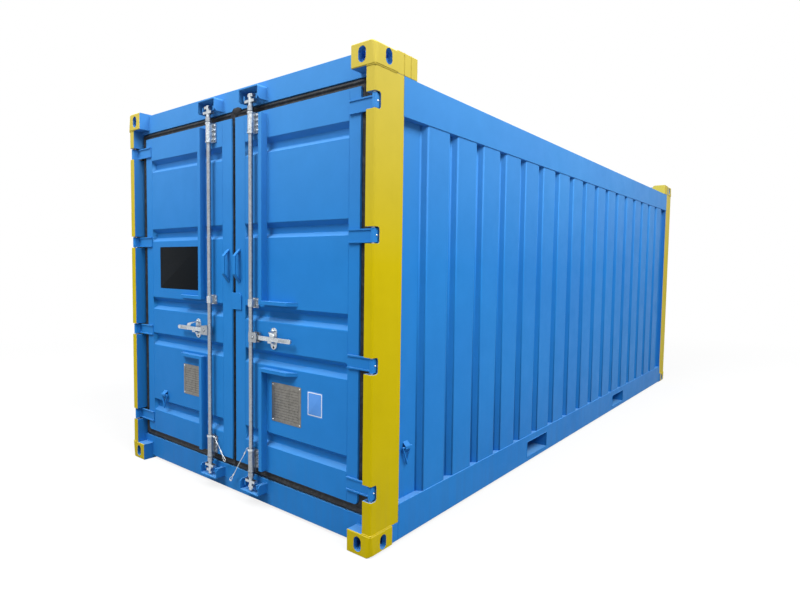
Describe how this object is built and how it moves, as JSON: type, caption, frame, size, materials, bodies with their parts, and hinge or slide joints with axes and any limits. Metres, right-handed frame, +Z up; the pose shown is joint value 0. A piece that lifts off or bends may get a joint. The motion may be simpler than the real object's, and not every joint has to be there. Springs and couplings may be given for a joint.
{
  "type": "shipping container",
  "caption": "Ribbed steel box with corner fittings and fork pockets; two end doors swing on pins and lock with cam rods, lever handles and catches.",
  "frame": {"origin": "centre of the base, in the plane of the bottom fittings' undersides", "axes": "+X along the length, away from the doors; +Y across, towards the left door; +Z up"},
  "size_m": [6.058, 2.438, 2.591],
  "materials": {
    "blue_paint": "satin",
    "yellow_paint": "satin",
    "gasket_rubber": "matt",
    "galvanised_steel": "galvanised",
    "plywood": "matt",
    "wire_rope": "satin"
  },
  "bodies": {
    "container": {"bottom_fittings": "yellow_paint", "top_fittings": "yellow_paint", "door_posts": "yellow_paint", "rear_posts": "yellow_paint", "top_guards": "yellow_paint", "top_rails": "blue_paint", "bottom_rails": "blue_paint", "door_header": "blue_paint", "door_sill": "blue_paint", "rear_header": "blue_paint", "rear_sill": "blue_paint", "right_side_wall": "blue_paint", "left_side_wall": "blue_paint", "rear_wall": "blue_paint", "roof": "blue_paint", "floor": "plywood", "cross_members": "blue_paint", "fork_pockets": "blue_paint", "hinge_pins": "galvanised_steel", "cam_keepers": "blue_paint", "keeper_lugs": "blue_paint", "side_tag_saddle": "blue_paint"},
    "right_door": {"right_door_leaf": "blue_paint", "right_gasket": "gasket_rubber", "right_hinges": "blue_paint", "right_rod_brackets": "galvanised_steel", "right_handle_retainer": "galvanised_steel", "right_guard_bars": "blue_paint", "right_pull_handle": "blue_paint", "overlap_plate": "blue_paint", "right_lanyard": "wire_rope", "right_lanyard_eye": "wire_rope"},
    "right_rod": {"right_locking_rod": "galvanised_steel"},
    "right_lever": {"right_handle": "galvanised_steel"},
    "right_strap": {"right_catch": "galvanised_steel"},
    "left_door": {"left_door_leaf": "blue_paint", "left_gasket": "gasket_rubber", "left_hinges": "blue_paint", "left_rod_brackets": "galvanised_steel", "left_handle_retainer": "galvanised_steel", "left_guard_bars": "blue_paint", "left_pull_handle": "blue_paint", "door_tag_saddle": "blue_paint", "left_lanyard": "wire_rope", "left_lanyard_eye": "wire_rope"},
    "left_rod": {"left_locking_rod": "galvanised_steel"},
    "left_lever": {"left_handle": "galvanised_steel"},
    "left_strap": {"left_catch": "galvanised_steel"},
    "side_ring": {"side_tag_ring": "blue_paint"},
    "door_ring": {"door_tag_ring": "blue_paint"}
  },
  "joints": [
    {"name": "right_door_hinge", "type": "hinge", "parent": "container", "child": "right_door", "pos_m": [-3.006, -1.196, 1.32], "axis": [0, 0, 1], "range_deg": [0, 265]},
    {"name": "right_rod_turn", "type": "hinge", "parent": "right_door", "child": "right_rod", "pos_m": [-3.004, -0.218, 1.32], "axis": [0, 0, 1], "range_deg": [-100, 0]},
    {"name": "right_handle_lift", "type": "hinge", "parent": "right_rod", "child": "right_lever", "pos_m": [-3.008, -0.257, 1.055], "axis": [1, 0, 0], "range_deg": [-6, 0]},
    {"name": "right_catch_swing", "type": "hinge", "parent": "right_door", "child": "right_strap", "pos_m": [-2.991, -0.397, 1.101], "axis": [-1, 0, 0], "range_deg": [-90, 0]},
    {"name": "left_door_hinge", "type": "hinge", "parent": "container", "child": "left_door", "pos_m": [-3.006, 1.196, 1.32], "axis": [0, 0, -1], "range_deg": [0, 265]},
    {"name": "left_rod_turn", "type": "hinge", "parent": "left_door", "child": "left_rod", "pos_m": [-3.004, 0.218, 1.32], "axis": [0, 0, -1], "range_deg": [-100, 0]},
    {"name": "left_handle_lift", "type": "hinge", "parent": "left_rod", "child": "left_lever", "pos_m": [-3.008, 0.257, 1.055], "axis": [-1, 0, 0], "range_deg": [-6, 0]},
    {"name": "left_catch_swing", "type": "hinge", "parent": "left_door", "child": "left_strap", "pos_m": [-2.991, 0.397, 1.101], "axis": [-1, 0, 0], "range_deg": [-90, 0]},
    {"name": "side_ring_swing", "type": "hinge", "parent": "container", "child": "side_ring", "pos_m": [-2.69, -1.187, 0.498], "axis": [1, 0, 0], "range_deg": [-110, 0]},
    {"name": "door_ring_swing", "type": "hinge", "parent": "left_door", "child": "door_ring", "pos_m": [-2.985, 0.83, 0.53], "axis": [0, -1, 0], "range_deg": [-110, 0]}
  ]
}
